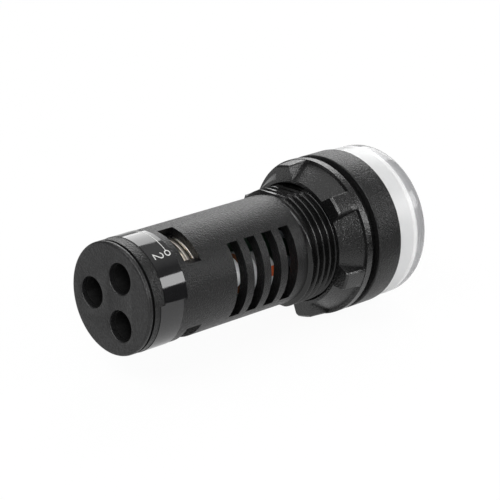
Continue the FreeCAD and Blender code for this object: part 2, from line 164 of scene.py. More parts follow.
# %% Make the black plastics
def moulded_plastic(name, colour, pit_size, pit_depth, rough, gloss=0.42, speckle=0.9):
    """Black plastic from a spark-eroded mould: fine pits, duller at the bottom of each, over a slow
    drift in tone. The tone is a quarter drift and three quarters pits, whose colour is painted
    shade at each pit's bottom and a painted glint between them."""
    drift_size, drift_share = 0.006, 0.25
    material, tree, shader = new_material(name)
    shader.inputs["Specular IOR Level"].default_value = gloss
    pits = grain(tree, pit_size, 1.0)
    slow = spread(tree, grain(tree, drift_size, 4.0), 0.0, drift_share)
    # Painted shade and glint: the colour follows the pits' height, darker at their bottoms and
    # lighter between them.
    tone = calculate(tree, "ADD", slow, spread(tree, pits, 0.0, 1 - drift_share))
    tones = darker_and_lighter(colour, speckle)
    tree.links.new(tint(tree, tone, *tones), shader.inputs["Base Color"])
    tree.links.new(spread(tree, pits, *rough), shader.inputs["Roughness"])
    tree.links.new(bump(tree, pits, pit_depth), shader.inputs["Normal"])
    return material


# Each plastic has its colour, the size and depth of its pits in metres, and its roughness, first at
# the pits' bottoms and then between them.
black = (0.0030, 0.0030, 0.0031)
paler_black = (0.0080, 0.0080, 0.0083)
# The thread is part of the housing's moulding; its darker black is painted shade.
shaded_thread_black = (0.0015, 0.0015, 0.0015)
housing_plastic = moulded_plastic("housing_plastic", black, 0.00027, 0.00015, (0.49, 0.28))
cover_plastic = moulded_plastic("cover_plastic", paler_black, 0.00024, 0.00008, (0.46, 0.34))
nut_plastic = moulded_plastic("nut_plastic", black, 0.00026, 0.00008, (0.38, 0.22), gloss=0.70)
thread_plastic = moulded_plastic("thread_plastic", shaded_thread_black, 0.00028, 0.00003, (0.28, 0.20),
                                 gloss=0.55)
block_plastic = moulded_plastic("block_plastic", (0.003, 0.003, 0.003), 0.00025, 0.00003,
                                (0.55, 0.45), gloss=0.2)
varistor_coat = moulded_plastic("varistor_coat", (0.03, 0.03, 0.035), 0.0004, 0.00001,
                                (0.35, 0.5), speckle=0.3)
rectifier_case = moulded_plastic("rectifier_case", (0.014, 0.014, 0.015), 0.0002, 0.000008,
                                 (0.5, 0.6), speckle=0.3)
moulded = [housing_plastic, cover_plastic, nut_plastic, thread_plastic, block_plastic,
           varistor_coat, rectifier_case]
print("moulded finishes", [material.name for material in moulded])

# %% [markdown]
# ## Rubber, printed film and milky plastic
# The gasket is soft glossy rubber and the label a thin glossy film, so both get a low roughness and
# a bump too slow to see by itself, which only bends the reflections. The cup behind the lens is
# milky, so that the lamps' points of light spread evenly: some light goes a little way into it.

# %% Make the rubber, the film and the milky plastic
def gasket_finish():
    material, tree, shader = new_material("gasket_rubber")
    wear(tree, shader, (0.002, 0.002, 0.0022), 0.15, 0.003, (0.14, 0.24))
    tree.links.new(bump(tree, grain(tree, 0.0011), 0.00002, 0.6), shader.inputs["Normal"])
    return material


def film_finish():
    material, tree, shader = new_material("label_film", ior=1.64)
    wear(tree, shader, (0.008, 0.008, 0.0085), 0.1, 0.005, (0.05, 0.11))
    tree.links.new(bump(tree, grain(tree, 0.0028, 1.0), 0.000012, 0.5), shader.inputs["Normal"])
    return material


def diffuser_finish():
    material, tree, shader = new_material("diffuser_white")
    wear(tree, shader, (0.89, 0.895, 0.90), 0.02, 0.004, (0.32, 0.42))
    shader.inputs["Subsurface Weight"].default_value = 0.3
    shader.inputs["Subsurface Radius"].default_value = (0.002, 0.002, 0.002)
    shader.inputs["Subsurface Scale"].default_value = 1.0
    return material


gasket_rubber = gasket_finish()
label_film = film_finish()
diffuser_white = diffuser_finish()
print("finishes", gasket_rubber.name, label_film.name, diffuser_white.name)

# %% [markdown]
# ## The clear lens
# Seen from the side, the real lens shows three bands: a pale satin side over the white cup, a
# bright line where the wall turns, and a grey rim where one looks through the most plastic. All
# three are painted into one material that changes along Y and, for the rim, with the distance from
# the axis: the bright line is a painted highlight and the grey rim painted shade.

# %% Make the lens's finish
line_start, line_full = -0.0092, -0.0095
rim_start, rim_full = -0.0101, -0.0105
rim_inner_r, rim_outer_r, rim_haze = 0.0112, 0.0124, 0.58
# The line's tone is a painted highlight, and the rim's grey tone is painted shade.
side_tone, highlight_line_tone = (0.81, 0.815, 0.815), (0.995, 0.995, 0.995)
shaded_rim_tone = (0.49, 0.49, 0.50)
side_rough, front_rough = 0.34, 0.10


def lens_finish():
    """Clear plastic in three bands. The band is 0 on the side, 1 on the line and 2 on the rim, and
    half of it is the place on a ramp of three tones: the line's is a painted highlight and the
    rim's painted shade. The rim also lets less light through."""
    material, tree, shader = new_material("lens_clear", ior=1.49)
    shader.inputs["Specular IOR Level"].default_value = 0.3
    place = add_node(tree, "ShaderNodeTexCoord").outputs["Object"]
    along = add_node(tree, "ShaderNodeSeparateXYZ", {0: place}).outputs
    flat = add_node(tree, "ShaderNodeCombineXYZ", {"X": along["X"], "Z": along["Z"]}).outputs[0]
    radius = add_node(tree, "ShaderNodeVectorMath", {0: flat}, operation="LENGTH").outputs["Value"]
    line = spread(tree, along["Y"], 0.0, 1.0, line_start, line_full)
    front = spread(tree, along["Y"], 0.0, 1.0, rim_start, rim_full)
    outer = spread(tree, radius, 0.0, 1.0, rim_inner_r, rim_outer_r)
    band = calculate(tree, "ADD", line, calculate(tree, "MULTIPLY", front, outer))
    tones = add_node(tree, "ShaderNodeValToRGB", {"Fac": calculate(tree, "MULTIPLY", band, 0.5)})
    tones.color_ramp.elements[0].color = (*side_tone, 1)
    tones.color_ramp.elements[1].color = (*shaded_rim_tone, 1)
    tones.color_ramp.elements.new(0.5).color = (*highlight_line_tone, 1)
    haze = calculate(tree, "MULTIPLY", outer, rim_haze)
    tree.links.new(tones.outputs["Color"], shader.inputs["Base Color"])
    tree.links.new(spread(tree, haze, 1.0, 0.0, 0.0, 1.0), shader.inputs["Transmission Weight"])
    tree.links.new(spread(tree, front, side_rough, front_rough, 0.0, 1.0),
                   shader.inputs["Roughness"])
    return material


lens_clear = lens_finish()
print("lens bands start at y", [round(y / mm, 1) for y in (line_start, rim_start)], "mm")

# %% [markdown]
# ## Plated metal, boards and dipped parts
# What shows through the vents and windows: bright plated steel, a green and a white board, and
# parts dipped in glossy lacquer. Lacquer pools a little, so its bump is slow. Two of the dipped
# parts have a band of another colour, copper on one and orange red on the other.

# %% Metal, lacquer and board
def plated_metal(name, colour, rough):
    """Plated steel: a bright coat whose tone and gloss drift a little."""
    material, tree, shader = new_material(name, metallic=1.0)
    wear(tree, shader, colour, 0.10, 0.0015, rough)
    tree.links.new(bump(tree, grain(tree, 0.0012), 0.000006), shader.inputs["Normal"])
    return material


def dipped(name, colour, rough=(0.16, 0.3)):
    """Lacquer that has pooled: glossy, with slow waves."""
    material, tree, shader = new_material(name)
    wear(tree, shader, colour, 0.12, 0.002, rough)
    tree.links.new(bump(tree, grain(tree, 0.0016), 0.00005, 0.6), shader.inputs["Normal"])
    return material


def banded(name, base, band, axis, start, end):
    """Lacquer with a band of another colour, from start to end in metres along one axis: the
    factor rises to 1 just after start and falls to 0 just after end."""
    soft = 0.0001
    material = dipped(name, base)
    tree = material.node_tree
    shader = tree.nodes["Principled BSDF"]
    place = add_node(tree, "ShaderNodeTexCoord").outputs["Object"]
    height = add_node(tree, "ShaderNodeSeparateXYZ", {0: place}).outputs[axis]
    rising = spread(tree, height, 0.0, 1.0, start, start + soft)
    falling = spread(tree, height, 1.0, 0.0, end, end + soft)
    within_band = calculate(tree, "MULTIPLY", rising, falling)
    tree.links.new(tint(tree, within_band, base, band), shader.inputs["Base Color"])
    return material


def board_finish(name, colour):
    """Lacquered board: the weave of the glass cloth shows through as a fine check."""
    threads_per_metre = 2200.0
    material, tree, shader = new_material(name, roughness=0.35)
    wear(tree, shader, colour, 0.08, 0.003)
    place = add_node(tree, "ShaderNodeTexCoord").outputs["Object"]
    weave = add_node(tree, "ShaderNodeTexChecker", {"Vector": place, "Scale": threads_per_metre})
    tree.links.new(bump(tree, weave.outputs["Fac"], 0.00001, 0.5), shader.inputs["Normal"])
    return material


print("helpers for the inner finishes ready")

# %% Make the finishes of the inner parts
# A metal has a colour and a range of roughness. A band has its own colour, an axis and two heights.
pale_grey, copper, orange_red = (0.60, 0.61, 0.62), (0.26, 0.10, 0.045), (0.66, 0.13, 0.045)
plate_metal = plated_metal("plate_metal", (0.84, 0.81, 0.76), (0.26, 0.38))
clamp_metal = plated_metal("clamp_metal", (0.80, 0.74, 0.66), (0.26, 0.38))
screw_metal = plated_metal("screw_metal", (0.82, 0.79, 0.75), (0.22, 0.34))
pin_metal = plated_metal("pin_metal", (0.75, 0.68, 0.45), (0.25, 0.35))
wire_metal = plated_metal("wire_metal", (0.74, 0.73, 0.70), (0.2, 0.3))
can_sleeve = dipped("can_sleeve", (0.85, 0.86, 0.87), (0.3, 0.4))
film_grey = banded("film_grey", pale_grey, copper, "Y", 0.0243, 0.030)
film_red = banded("film_red", pale_grey, orange_red, "Z", -0.0026, -0.0008)
dropper_case = dipped("dropper_case", (0.55, 0.42, 0.12))
resistor_coat = dipped("resistor_coat", (0.20, 0.22, 0.24))
led_body = dipped("led_body", (0.82, 0.80, 0.70))
board_green = board_finish("board_green", (0.010, 0.030, 0.015))
board_white = board_finish("board_white", (0.72, 0.73, 0.71))
print(len(bpy.data.materials), "materials so far")

# %% Give every CAD node its finish
def paint(node_name, material):
    """Assigns to the slots that the node already has."""
    slots = nodes[node_name].material_slots
    for slot in slots:
        slot.material = material
    return len(slots)


finishes = {
    "housing": housing_plastic, "terminal_block": block_plastic, "rear_cover": cover_plastic,
    "lock_nut": nut_plastic, "panel_gasket": gasket_rubber, "label_wrap": label_film,
    "lens_cap": lens_clear, "diffuser": diffuser_white, "lamp_board": board_white,
    "main_board": board_green, "board_pins": pin_metal, "link_wire": wire_metal,
    "smoothing_capacitor": can_sleeve, "film_capacitor_1": film_grey, "film_capacitor_2": film_red,
    "varistor": varistor_coat, "dropper_capacitor": dropper_case, "rectifier": rectifier_case,
    "resistor_1": resistor_coat, "resistor_2": resistor_coat,
}
led_count, terminal_count = 6, 3
for number in range(1, led_count + 1):
    finishes["led_%d" % number] = led_body
for number in range(1, terminal_count + 1):
    finishes["terminal_plate_%d" % number] = plate_metal
    finishes["clamp_plate_%d" % number] = clamp_metal
    finishes["terminal_screw_%d" % number] = screw_metal
painted = {name: paint(name, material) for name, material in finishes.items()}
print(len(painted), "nodes painted")
print("without slots:", [name for name, count in painted.items() if not count])
print("left out:", sorted(set(nodes) - set(finishes)))

# %% [markdown]
# ## Helpers for surfaces
# A new piece is a surface: two parameters on a grid, worked out for all points at once. The first
# runs round the barrel (the angle is 0 at the top and grows towards -X), the second follows an
# outline. Points that meet at a seam or a pole are welded, so every piece is closed.

# %% Put whole arrays into a mesh
weld_distance, least_edge = 0.001 * mm, 0.0005 * mm
sharp_angle, soften_angle = math.radians(40), math.radians(30)


def on_barrel(radius, angle, y):
    """Point for a radius, an angle in degrees and a height y along the barrel, all in mm:
    x is minus r sin(angle), z is r cos(angle)."""
    turn = np.radians(angle)
    point = np.broadcast_arrays(-radius * np.sin(turn), y, radius * np.cos(turn))
    return np.stack(point, axis=-1) * mm


def array_mesh(name, points, faces):
    """A mesh from an array of points and an array of faces that have equally many corners."""
    mesh = bpy.data.meshes.new(name)
    points = points.reshape(-1, 3)
    starts = np.arange(0, faces.size, faces.shape[1], dtype=np.int32)
    mesh.vertices.add(len(points))
    mesh.vertices.foreach_set("co", points.astype(np.float32).ravel())
    mesh.loops.add(faces.size)
    mesh.loops.foreach_set("vertex_index", faces.astype(np.int32).ravel())
    mesh.polygons.add(len(faces))
    mesh.polygons.foreach_set("loop_start", starts)
    mesh.update(calc_edges=True)
    return mesh


def close_up(mesh):
    """Welds seams and poles, turns the faces outwards and returns the number of open edges."""
    work = bmesh.new()
    work.from_mesh(mesh)
    bmesh.ops.remove_doubles(work, verts=work.verts, dist=weld_distance)
    bmesh.ops.dissolve_degenerate(work, edges=work.edges, dist=least_edge)
    bmesh.ops.recalc_face_normals(work, faces=work.faces)
    open_edges = sum(1 for edge in work.edges if not edge.is_manifold)
    work.to_mesh(mesh)
    work.free()
    return open_edges


print("mesh helpers ready")

# %% Add a piece and round its edges
def soften(piece, width):
    """A Bevel modifier that rounds every edge sharper than 30 degrees. Width is in mm."""
    bevel = piece.modifiers.new("soft_edges", "BEVEL")
    bevel.width = width * mm
    bevel.segments = 2
    bevel.limit_method = "ANGLE"
    bevel.angle_limit = soften_angle
    bevel.harden_normals = True


def ride_in_place(name, mesh, body, material, stands_for, soft):
    """An object for the mesh, with its finish, its body and the CAD nodes it stands for."""
    mesh.materials.clear()
    mesh.materials.append(material)
    made = bpy.data.objects.new(name, mesh)
    bpy.context.scene.collection.objects.link(made)
    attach(made, body)
    if stands_for:
        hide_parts(*stands_for)
    if soft:
        soften(made, soft)


def add_piece(name, points, faces, body, material, stands_for=(), soft=0.0):
    """Makes a closed piece from arrays. soft is the width in mm of the rounding of its edges."""
    mesh = array_mesh(name, points, faces)
    open_edges = close_up(mesh)
    mesh.shade_smooth()
    if not soft:
        mesh.set_sharp_from_angle(angle=sharp_angle)
    ride_in_place(name, mesh, body, material, stands_for, soft)
    print("%-18s %5d faces, %d open edges" % (name, len(mesh.polygons), open_edges))


def grid_faces(rows, columns, wrap_rows=False):
    """Four-cornered faces of a grid of points stored row by row. The columns go all round."""
    row = np.arange(rows if wrap_rows else rows - 1)[:, None]
    column = np.arange(columns)[None, :]
    row_next = (row + 1) % rows
    column_next = (column + 1) % columns
    corners = [row * columns + column, row * columns + column_next,
               row_next * columns + column_next, row_next * columns + column]
    return np.stack(np.broadcast_arrays(*corners), axis=-1).reshape(-1, 4)


print("piece helpers ready")

# %% Round the corners of an outline, and turn it
def rounded(corners, closed=True, steps=5):
    """Joins corners of (radius, y, rounding) into an outline. Each corner is replaced by a
    quadratic curve: (1-t)^2 A + 2t(1-t) P + t^2 B, where P is the corner, and A and B lie one
    rounding before and after it. An open outline keeps its two end points."""
    corner = np.array([c[:2] for c in corners], float)
    size = np.array([c[2] for c in corners], float)[:, None]
    before = np.roll(corner, 1, axis=0) - corner
    after = np.roll(corner, -1, axis=0) - corner
    before = corner + before / np.linalg.norm(before, axis=1, keepdims=True) * size
    after = corner + after / np.linalg.norm(after, axis=1, keepdims=True) * size
    t = np.linspace(0, 1, steps)[None, :, None]
    curve = ((1 - t) ** 2 * before[:, None] + 2 * t * (1 - t) * corner[:, None]
             + t ** 2 * after[:, None])
    if closed:
        return curve.reshape(-1, 2)
    return np.concatenate([corner[:1], curve[1:-1].reshape(-1, 2), corner[-1:]])


turn_columns = 240


def turned(name, corners, body, material, stands_for, steps):
    """An outline of (radius, y, rounding) corners, turned about the barrel's axis. It is closed, or
    it starts and ends on the axis, where each end becomes a pole."""
    closed = corners[0][0] > 0
    line = rounded(corners, closed, steps)
    angle = np.arange(turn_columns) * 360.0 / turn_columns
    points = on_barrel(line[:, :1], angle[None, :], line[:, 1:])
    faces = grid_faces(len(line), turn_columns, wrap_rows=closed)
    add_piece(name, points, faces, body, material, stands_for)


print("outline helpers ready")

# %% [markdown]
# ## The housing
# On the real light the bezel, the barrel and the core of the thread are one black moulding. A
# boolean cut would leave ragged edges for the Bevel modifier, so the wall is a grid of cells
# instead: every cell has an outer and an inner face, the cells in the vents and windows are left
# out, and a wall face closes each edge between a full cell and an empty one.

# %% Sizes of the housing, in mm
bezel_r, bezel_front, bezel_inner_r, bezel_floor = 14.5, -5.7, 13.4, -1.3
barrel_r, barrel_rear = 10.0, 50.1
front_bore_r, rear_bore_r, shoulder_y = 8.1, 8.5, 35.0
vent_half = 1.19
vent_y = [(middle - vent_half, middle + vent_half) for middle in (17.53, 21.60, 25.67, 29.74)]
vent_top, vent_bottom = 6.925, -6.425
window_y = (37.7, 41.1)
window_half = 4.251
top_window, low_window, side_window = 30.0, 150.0, 270.0
window_reach = math.degrees(math.asin(window_half / barrel_r))
level_jamb = barrel_r * math.cos(math.radians(top_window + window_reach))
print("windows reach", round(window_reach, 1), "degrees to each side")

# %% Where the edges of vents and windows cut the wall
def level_edge(z, bore_r):
    """The angles from the top at which a level plane at height z cuts the outside and the bore."""
    return tuple(math.degrees(math.acos(z / radius)) for radius in (barrel_r, bore_r))


def far_edge(z):
    """The same for a vent's edge on the far side of the barrel, past half a turn."""
    return tuple(360 - angle for angle in level_edge(z, front_bore_r))


def jamb(middle, side):
    """The same for a window's edge, a plane parallel to the window's middle."""
    inner = math.degrees(math.asin(window_half / rear_bore_r))
    return middle + side * window_reach, middle + side * inner


column_marks = [
    jamb(top_window, -1), level_edge(vent_top, front_bore_r),
    level_edge(level_jamb, rear_bore_r), level_edge(-level_jamb, rear_bore_r),
    level_edge(vent_bottom, front_bore_r), jamb(low_window, 1),
    far_edge(vent_bottom), jamb(side_window, -1), jamb(side_window, 1), far_edge(vent_top),
]
print("column marks", [(round(a, 1), round(b, 1)) for a, b in column_marks])

# %% Columns and rows of the wall
column_step, row_step = 1.3, 1.6


def between(start, end, step):
    """Evenly spaced values from start up to, but without, end, no further apart than step."""
    count = max(1, int(math.ceil((end[0] - start[0]) / step)))
    share = np.arange(count)[:, None] / count
    return np.array(start)[None, :] * (1 - share) + np.array(end)[None, :] * share


following = column_marks[1:] + [tuple(angle + 360 for angle in column_marks[0])]
columns = np.concatenate([between(a, b, column_step) for a, b in zip(column_marks, following)])
outer_angle, inner_angle = columns[:, 0], columns[:, 1]

rows_start, rows_end = 14.0, 49.3
spare_rows = [14.6, 31.5, 43.0]
row_marks = sorted([edge for pair in vent_y for edge in pair] + list(window_y)
                   + [shoulder_y] + spare_rows)
row_marks = [rows_start] + row_marks + [rows_end]
barrel_y = np.concatenate([between((a, a), (b, b), row_step)[:, 0]
                           for a, b in zip(row_marks, row_marks[1:])])
print(len(columns), "columns and", len(barrel_y), "rows on the barrel")

# %% Outlines of the bezel and of the rear end
# Both outlines need equally many points, so the inner one has two spare corners on its straight
# run. At the rear, a rebate leaves the dark gap under the cover's rim.
neck_r, neck_end, neck_slope = 9.85, 13.45, 0.1
lip_outer_r, lip_inner_r, lip_inner_y = 13.9, 13.5, -5.6
front_end, rear_start = 13.9, 49.6
rebate_r, rebate_front, rear_inner_r = 9.5, 49.72, 8.8
front_outer = rounded([
    (lip_outer_r, bezel_front, 0), (bezel_r, bezel_front, 0.3), (bezel_r, 0, 0.3),
    (neck_r, 0, 0.1), (neck_r, neck_end - neck_slope, 0.1), (barrel_r, neck_end + neck_slope, 0.1),
    (barrel_r, front_end, 0)], False)
front_inner = rounded([
    (lip_inner_r, bezel_front, 0), (bezel_inner_r, lip_inner_y, 0.02),
    (bezel_inner_r, bezel_floor, 0.1), (front_bore_r, bezel_floor, 0.1),
    (front_bore_r, 5.0, 1.0), (front_bore_r, 9.0, 1.0), (front_bore_r, front_end, 0)], False)
rear_outer = rounded([
    (barrel_r, rear_start, 0), (barrel_r, rebate_front, 0),
    (rebate_r, rebate_front, 0), (rebate_r, barrel_rear, 0)], False)
rear_inner = rounded([
    (rear_bore_r, rear_start, 0), (rear_bore_r, rebate_front, 0),
    (rear_bore_r, barrel_rear, 0), (rear_inner_r, barrel_rear, 0)], False)
outer_barrel = np.stack([np.full_like(barrel_y, barrel_r), barrel_y], -1)
bore_r = np.where(barrel_y < shoulder_y, front_bore_r, rear_bore_r)
inner_barrel = np.stack([bore_r, barrel_y], -1)
outer_rows = np.concatenate([front_outer, outer_barrel, rear_outer])
inner_rows = np.concatenate([front_inner, inner_barrel, rear_inner])
print(len(outer_rows), "rows in all")

# %% Find the cells of the vents and windows
middle_y = (outer_rows[1:, 1] + outer_rows[:-1, 1]) / 2
middle_angle = (outer_angle + np.append(outer_angle[1:], outer_angle[0] + 360)) / 2 % 360


def within(values, start, end):
    """True where a value lies between start and end."""
    return (values > start) & (values < end)


# The marks 0 and 2, 3 and 5, and 7 and 8 bound a window each; 1 and 4, and 6 and 9, the vents.
mark = [outer for outer, inner in column_marks]
vent_columns = within(middle_angle, mark[1], mark[4]) | within(middle_angle, mark[6], mark[9])
window_columns = (within(middle_angle, mark[0], mark[2]) | within(middle_angle, mark[3], mark[5])
                  | within(middle_angle, mark[7], mark[8]))
vent_rows = np.any([within(middle_y, a, b) for a, b in vent_y], axis=0)
window_rows = within(middle_y, *window_y)
full = ~(vent_rows[:, None] & vent_columns[None, :]
         | window_rows[:, None] & window_columns[None, :])
print(int((~full).sum()), "of", full.size, "cells are open")

# %% Build the wall
def wall_mesh(cells, outer_points, inner_points):
    """Cells of a curved wall. cells says which are full; the faces are each full cell's outer and
    inner face, and a face through the wall where a full cell meets an empty one."""
    rows, cols = outer_points.shape[:2]
    ids = np.arange(rows * cols).reshape(rows, cols)
    inside = ids + rows * cols
    right = np.roll(ids, -1, axis=1)
    right_inside = np.roll(inside, -1, axis=1)
    cell = np.nonzero(cells)
    shift = (cell[0] + 1, cell[1])
    faces = [np.stack([ids[cell], right[cell], right[shift], ids[shift]], -1),
             np.stack([inside[shift], right_inside[shift], right_inside[cell], inside[cell]], -1)]
    padded = np.pad(cells, ((1, 1), (0, 0)))
    edge = np.nonzero(padded[1:] != padded[:-1])
    faces.append(np.stack([ids[edge], right[edge], right_inside[edge], inside[edge]], -1))
    side = np.nonzero(cells != np.roll(cells, 1, axis=1))
    below = (side[0] + 1, side[1])
    faces.append(np.stack([ids[side], ids[below], inside[below], inside[side]], -1))
    points = np.concatenate([outer_points.reshape(-1, 3), inner_points.reshape(-1, 3)])
    return points, np.concatenate(faces)


# The mould's halves part along a fine line between the last vent and the first window.
mould_line, line_from, line_to = 0.03, vent_y[3][1] + 0.5, window_y[0] - 0.3
wall_radius = np.repeat(outer_rows[:, :1], len(columns), axis=1)
line_column = int(np.argmin(abs(outer_angle - mark[2])))
wall_radius[within(outer_rows[:, 1], line_from, line_to), line_column] += mould_line
outer_points = on_barrel(wall_radius, outer_angle[None, :], outer_rows[:, 1:])
inner_points = on_barrel(inner_rows[:, :1], inner_angle[None, :], inner_rows[:, 1:])
wall_points, wall_faces = wall_mesh(full, outer_points, inner_points)
add_piece("housing_shell", wall_points, wall_faces, "lamp", housing_plastic,
          ["housing"], soft=0.11)

# %% [markdown]
# ## The panel thread
# The thread is a ridge wound round the neck, with flats at the top and bottom where the mould's
# halves part. Its cross-section is swept along a right-hand helix: while the angle grows by one
# turn towards -X, the ridge moves one pitch towards the bezel. The ridge is narrow at its crest and
# wide at its foot, and it grows out of the neck over its first quarter turn, at the rear.

# %% Sweep the thread's ridge
thread_pitch, thread_flat = 1.5, 10.15
thread_start_y, thread_start_angle, thread_turns = 13.3, 90.0, 7.5
fade_in, fade_out = 90.0, 12.0
steps_per_turn, least_cosine = 150, 0.05
half_across = np.array([-0.62, -0.50, -0.27, -0.14, -0.10, -0.04])
half_height = np.array([-0.25, -0.12, 0.34, 0.70, 0.77, 0.80])
ridge_across = np.concatenate([half_across, -half_across[::-1]])
ridge_height = np.concatenate([half_height, half_height[::-1]])


def thread_ridge():
    """Radius is the barrel's plus the ridge's height, which fades in and out at the two ends, held
    under the flats: r = min(r, flat / |cos(angle)|). The middle is y = start - pitch * turns."""
    turn = np.linspace(0.0, 360.0 * thread_turns, int(steps_per_turn * thread_turns))[:, None]
    fade = np.clip(turn / fade_in, 0, 1) * np.clip((360.0 * thread_turns - turn) / fade_out, 0, 1)
    radius = barrel_r + (ridge_height[None, :] - ridge_height[0]) * fade + ridge_height[0]
    level = np.abs(np.cos(np.radians(turn)))
    radius = np.minimum(radius, thread_flat / np.maximum(level, least_cosine))
    y = thread_start_y - thread_pitch * (turn - thread_start_angle) / 360.0 + ridge_across[None, :]
    points = on_barrel(radius, turn, y)
    rows, across = points.shape[:2]
    step = np.arange(across // 2 - 1)
    ends = np.array([0, (rows - 1) * across])[:, None, None]
    caps = np.stack([step, step + 1, across - 2 - step, across - 1 - step], -1)[None]
    return points, np.concatenate([grid_faces(rows, across), (ends + caps).reshape(-1, 4)])


thread_points, thread_faces = thread_ridge()
add_piece("panel_thread", thread_points, thread_faces, "lamp", thread_plastic,
          ["housing"])

# %% [markdown]
# ## The lock nut
# A flange, a coned hub and six grip lugs that stand flush with the flange in front and have
# chamfered sides. Every row of the grid is one step of the outline, from the bore's front edge
# round to its rear edge. In each sixth of a turn some columns belong to the lug and the rest to the
# hollow beside it, and one column on each side is the lug's flank.

# %% Outline of the nut, in the hollows and on the lugs
nut_bore_r, nut_front, nut_rear, nut_chamfer_y = 10.95, 1.95, 7.6, 7.5
flange_rear, lug_r, hub_front_r, hub_rear_r = 3.25, 14.15, 13.77, 11.70
mouth_r, rim_r = 11.1, 11.4
lug_first_angle, lug_half_width, lug_flare = 48.4, 1.85, 0.13
nut_y = np.array([nut_front, nut_front, flange_rear, flange_rear, 4.6, 5.9, 7.25,
                  nut_rear, nut_rear, nut_rear, nut_chamfer_y])
hollow_r = np.interp(nut_y, (flange_rear, nut_rear), (hub_front_r, hub_rear_r))
hollow_r[:3] = nut_bore_r, bezel_r, bezel_r
hollow_r[8:] = rim_r, mouth_r, nut_bore_r
lug_top_r = np.array([nut_bore_r, bezel_r, bezel_r, 14.42, 14.32, 14.22, 14.15, 13.8,
                      rim_r, mouth_r, nut_bore_r])
base_r = np.clip(hollow_r, hub_rear_r, hub_front_r)
base_angle = np.degrees(np.arcsin((lug_half_width + lug_flare * (lug_r - base_r)) / base_r))
top_angle = np.degrees(np.arcsin(lug_half_width / np.clip(lug_top_r, hub_rear_r, lug_r)))
print("flank from", np.round(top_angle[3:8], 1), "to", np.round(base_angle[3:8], 1), "degrees")

# %% Build the nut
lug_count, hollow_columns, lug_core_r = 6, 9, 13.0
lug_across = np.array([-1.0, -0.86, -0.40, 0.40, 0.86, 1.0])
lug_drop = np.array([0.24, 0.0, 0.0, 0.0, 0.0, 0.24])
lug_rows = (nut_y > flange_rear) & (lug_top_r > lug_core_r)


def nut_grid():
    """In one share of the turn the angle runs from minus half the share to the flank's foot, over
    the lug and back down to plus half. The radius is the hollow's beside the lug and the lug's on
    it, less the drop at its chamfered sides. The points are on_barrel(radius, angle, y)."""
    half = 180.0 / lug_count
    share = np.linspace(0, 1, hollow_columns)[None, :]
    foot, crest = base_angle[:, None], top_angle[:, None]
    left = -half + (half - foot) * share
    over = crest * lug_across[None, :]
    right = foot + (half - foot) * share
    angle = np.concatenate([left, over, right[:, :-1]], axis=1)
    hollow = np.repeat(hollow_r[:, None], hollow_columns, axis=1)
    lug = lug_top_r[:, None] - lug_drop[None, :] * lug_rows[:, None]
    radius = np.concatenate([hollow, lug, hollow[:, :-1]], axis=1)
    lug_angle = np.arange(lug_count) * 2 * half + lug_first_angle
    angle = np.concatenate([angle + start for start in lug_angle], axis=1)
    return on_barrel(np.tile(radius, (1, lug_count)), angle, nut_y[:, None])


nut_points = nut_grid()
nut_faces = grid_faces(nut_points.shape[0], nut_points.shape[1], wrap_rows=True)
add_piece("lock_nut_moulding", nut_points, nut_faces, "lock_nut", nut_plastic,
          ["lock_nut"], soft=0.12)

# %% [markdown]
# ## Lens, diffuser and gasket
# All three are turned shapes, so each is one outline and a turn about the axis. The lens has a
# thick clear wall and a slightly domed front, and the white cup stands inside it with a small gap.

# %% Turn the lens, the diffuser and the gasket
# Each corner is its radius, its y and its rounding, in mm.
lens_corners = [
    (0.0, -13.9, 0), (4.0, -13.86, 2.0), (9.0, -13.68, 2.5), (14.2, -13.5, 2.3),
    (14.2, -5.7, 0.12), (13.35, -5.7, 0.05), (13.35, -2.4, 0.1), (12.6, -2.4, 0.1),
    (12.6, -12.0, 0.35), (0.0, -12.0, 0)]
diffuser_corners = [
    (0.0, -11.0, 0), (12.45, -11.0, 0.9), (12.45, -2.3, 0.05), (11.45, -2.3, 0.05),
    (11.45, -10.0, 0.5), (0.0, -10.0, 0)]
gasket_corners = [
    (10.95, 0.02, 0.1), (13.4, 0.02, 0.35), (13.4, 1.88, 0.35), (10.95, 1.88, 0.1)]
turned("lens_moulding", lens_corners, "lamp", lens_clear, ["lens_cap"], 9)
turned("diffuser_moulding", diffuser_corners, "lamp", diffuser_white,
       ["diffuser"], 7)
turned("gasket_ring", gasket_corners, "lamp", gasket_rubber, ["panel_gasket"], 6)

# %% [markdown]
# ## The print on the label
# The label carries a terminal's symbol: a small circle with a line that runs round the barrel, and
# a plain number. A printed stroke is a band along a path on the unrolled label, wrapped on the
# barrel a hair above the film.

# %% Make the white ink and a way to print a stroke
label_r, print_lift = 10.08, 0.02


def print_finish():
    material, tree, shader = new_material("print_white", roughness=0.35)
    wear(tree, shader, (0.55, 0.55, 0.54), 0.06, 0.0006)
    return material


def printed(name, along, y, width, closed=False):
    """A band of constant width in mm along a path. along is the distance round the barrel and y the
    height, in mm. The band's edges are the path plus and minus half a width along its normal."""
    path = np.stack([along, y], -1)
    if closed:
        slope = np.roll(path, -1, axis=0) - np.roll(path, 1, axis=0)
    else:
        slope = np.gradient(path, axis=0)
    slope = slope / np.linalg.norm(slope, axis=1, keepdims=True)
    normal = np.stack([-slope[:, 1], slope[:, 0]], -1) * width / 2
    around = np.stack([path - normal, path + normal, path + normal, path - normal], 1)
    height = np.array([print_lift, print_lift, -print_lift, -print_lift])[None, :] + label_r
    points = on_barrel(height, np.degrees(around[..., 0] / label_r), around[..., 1])
    faces = grid_faces(len(path), 4, wrap_rows=closed)
    if not closed:
        last = (len(path) - 1) * 4
        faces = np.concatenate([faces, [[0, 1, 2, 3], [last, last + 1, last + 2, last + 3]]])
    add_piece(name, points, faces, "lamp", print_white)


print_white = print_finish()
print("ink", print_white.name, "at radius", label_r + print_lift, "mm")

